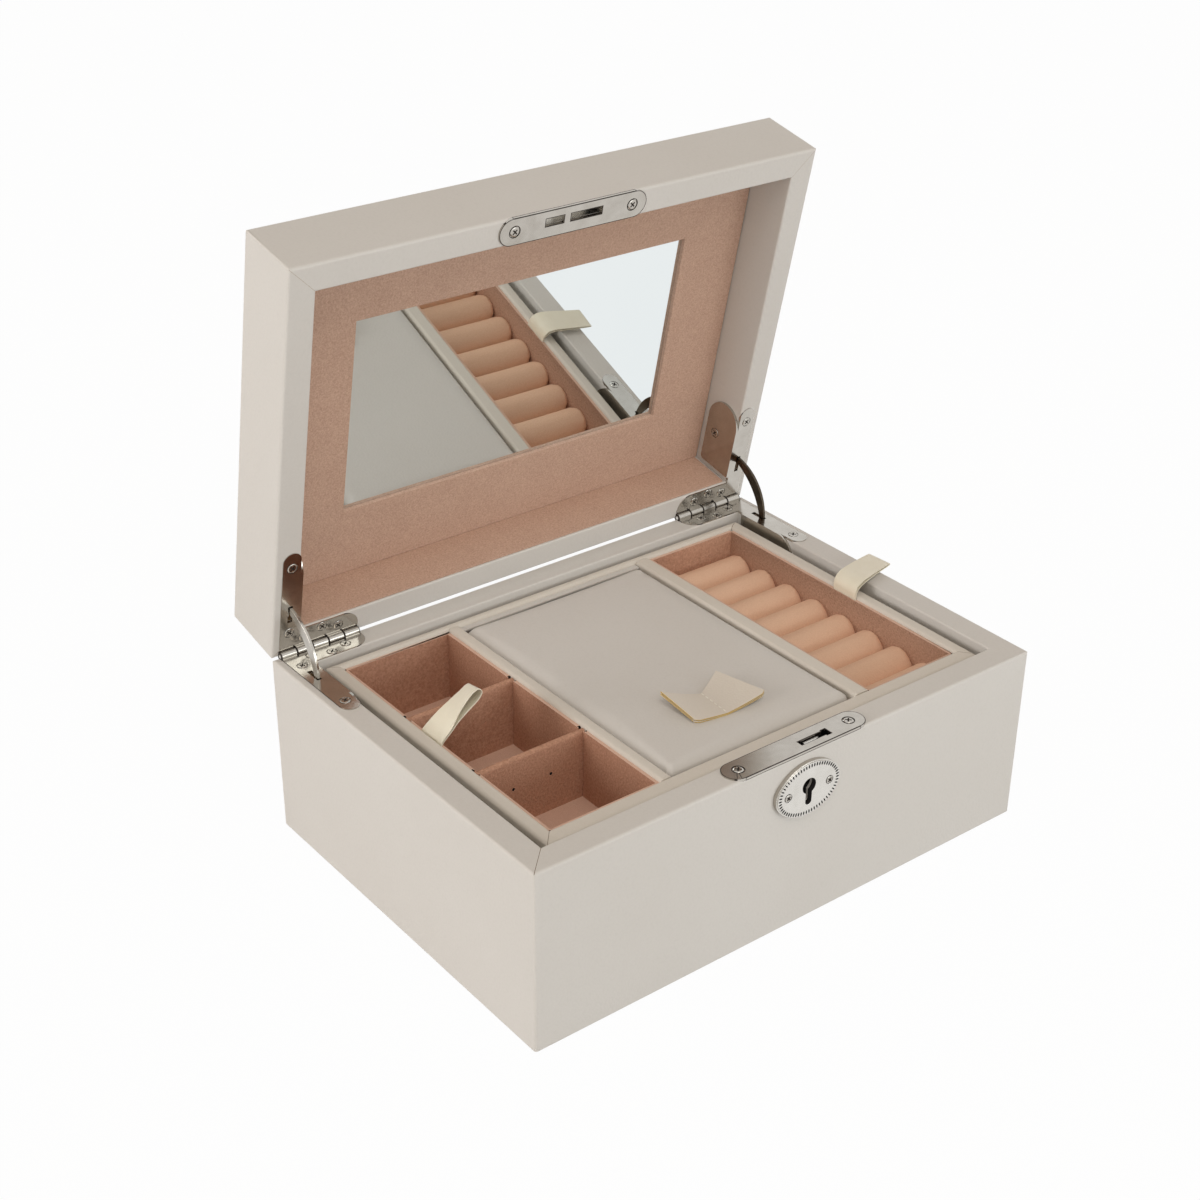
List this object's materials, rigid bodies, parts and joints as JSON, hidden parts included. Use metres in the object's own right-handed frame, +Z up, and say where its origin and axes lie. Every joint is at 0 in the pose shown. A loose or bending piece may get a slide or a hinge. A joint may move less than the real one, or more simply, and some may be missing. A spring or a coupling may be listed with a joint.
{
  "type": "vanity box with mirror",
  "caption": "Leatherette vanity and jewellery box: mirror in a hinged lid, lift-out tray with ring rolls and compartments, hook lock.",
  "frame": {"origin": "centre of the base's underside", "axes": "+X to the right along the front, -Y to the front, +Z up"},
  "size_m": [0.2645, 0.2198, 0.2716],
  "materials": {
    "leatherette": "satin grained",
    "tab_leather": "satin, raw yellowish edges",
    "suede": "matt suede",
    "roll_velvet": "matt suede",
    "ribbon": "satin",
    "felt": "matt",
    "board": "raw fibreboard",
    "mirror_glass": "polished",
    "nickel": "polished nickel"
  },
  "bodies": {
    "box": {"base_felt": "felt", "base_board": "board", "body_wrap": "leatherette", "front_board": "board", "back_board": "board", "left_board": "board", "right_board": "board", "tray_ledge": "suede", "floor_pad": "suede", "left_body_plate": "nickel", "right_body_plate": "nickel", "hinge_pins": "nickel", "body_screws": "nickel", "lock_face_plate": "nickel", "lock_case": "nickel", "key_pin": "nickel", "bolt_spring": "nickel", "escutcheon": "nickel", "escutcheon_screws": "nickel"},
    "lid": {"lid_wrap": "leatherette", "lid_front_board": "board", "lid_back_board": "board", "lid_left_board": "board", "lid_right_board": "board", "lid_top_board": "board", "mirror": "mirror_glass", "mirror_frame": "suede", "lid_back_lining": "suede", "left_lid_plate": "nickel", "right_lid_plate": "nickel", "lid_lock_plate": "nickel", "lid_screws": "nickel"},
    "left_stay": {"left_stay": "nickel"},
    "right_stay": {"right_stay": "nickel"},
    "bolt_carriage": {"bolt_carriage": "nickel"},
    "hook_bolt": {"hook_bolt": "nickel"},
    "tray": {"tray_floor": "leatherette", "tray_frame": "leatherette", "left_rail": "leatherette", "right_rail": "leatherette", "left_liner": "suede", "center_liner": "suede", "ring_liner": "suede", "back_divider": "suede", "front_divider": "suede", "ring_bed": "suede", "ring_roll_1": "roll_velvet", "ring_roll_2": "roll_velvet", "ring_roll_3": "roll_velvet", "ring_roll_4": "roll_velvet", "ring_roll_5": "roll_velvet", "ring_roll_6": "roll_velvet", "ring_roll_7": "roll_velvet", "ring_roll_8": "roll_velvet", "left_ribbon": "ribbon", "right_ribbon": "ribbon", "inner_lid_hinge": "leatherette"},
    "inner_lid": {"inner_lid_board": "suede", "inner_lid_cover": "leatherette", "pull_tab": "tab_leather"}
  },
  "joints": [
    {"name": "lid_hinge", "type": "hinge", "parent": "box", "child": "lid", "pos_m": [0, 0.092, 0.084], "axis": [-1, 0, 0], "range_deg": [-78, 0], "deforming": ["right_ribbon"]},
    {"name": "left_stay_swing", "type": "hinge", "parent": "box", "child": "left_stay", "pos_m": [-0.1222, 0.092, 0.084], "axis": [-1, 0, 0], "range_deg": [-39, 0]},
    {"name": "right_stay_swing", "type": "hinge", "parent": "box", "child": "right_stay", "pos_m": [0.1222, 0.092, 0.084], "axis": [-1, 0, 0], "range_deg": [-39, 0]},
    {"name": "tray_lift", "type": "slide", "parent": "box", "child": "tray", "axis": [0, 0, 1], "range_m": [0, 0.05]},
    {"name": "inner_lid_fold", "type": "hinge", "parent": "tray", "child": "inner_lid", "pos_m": [0, 0.0717, 0.08], "axis": [-1, 0, 0], "range_deg": [0, 75]},
    {"name": "bolt_shift", "type": "slide", "parent": "box", "child": "bolt_carriage", "axis": [1, 0, 0], "range_m": [0, 0.0036]},
    {"name": "hook_rise", "type": "slide", "parent": "bolt_carriage", "child": "hook_bolt", "axis": [0, 0, 1], "range_m": [0, 0.007]}
  ],
  "couplings": [
    {"joint": "left_stay_swing", "follows": "lid_hinge", "ratio": 0.5},
    {"joint": "right_stay_swing", "follows": "lid_hinge", "ratio": 0.5}
  ]
}
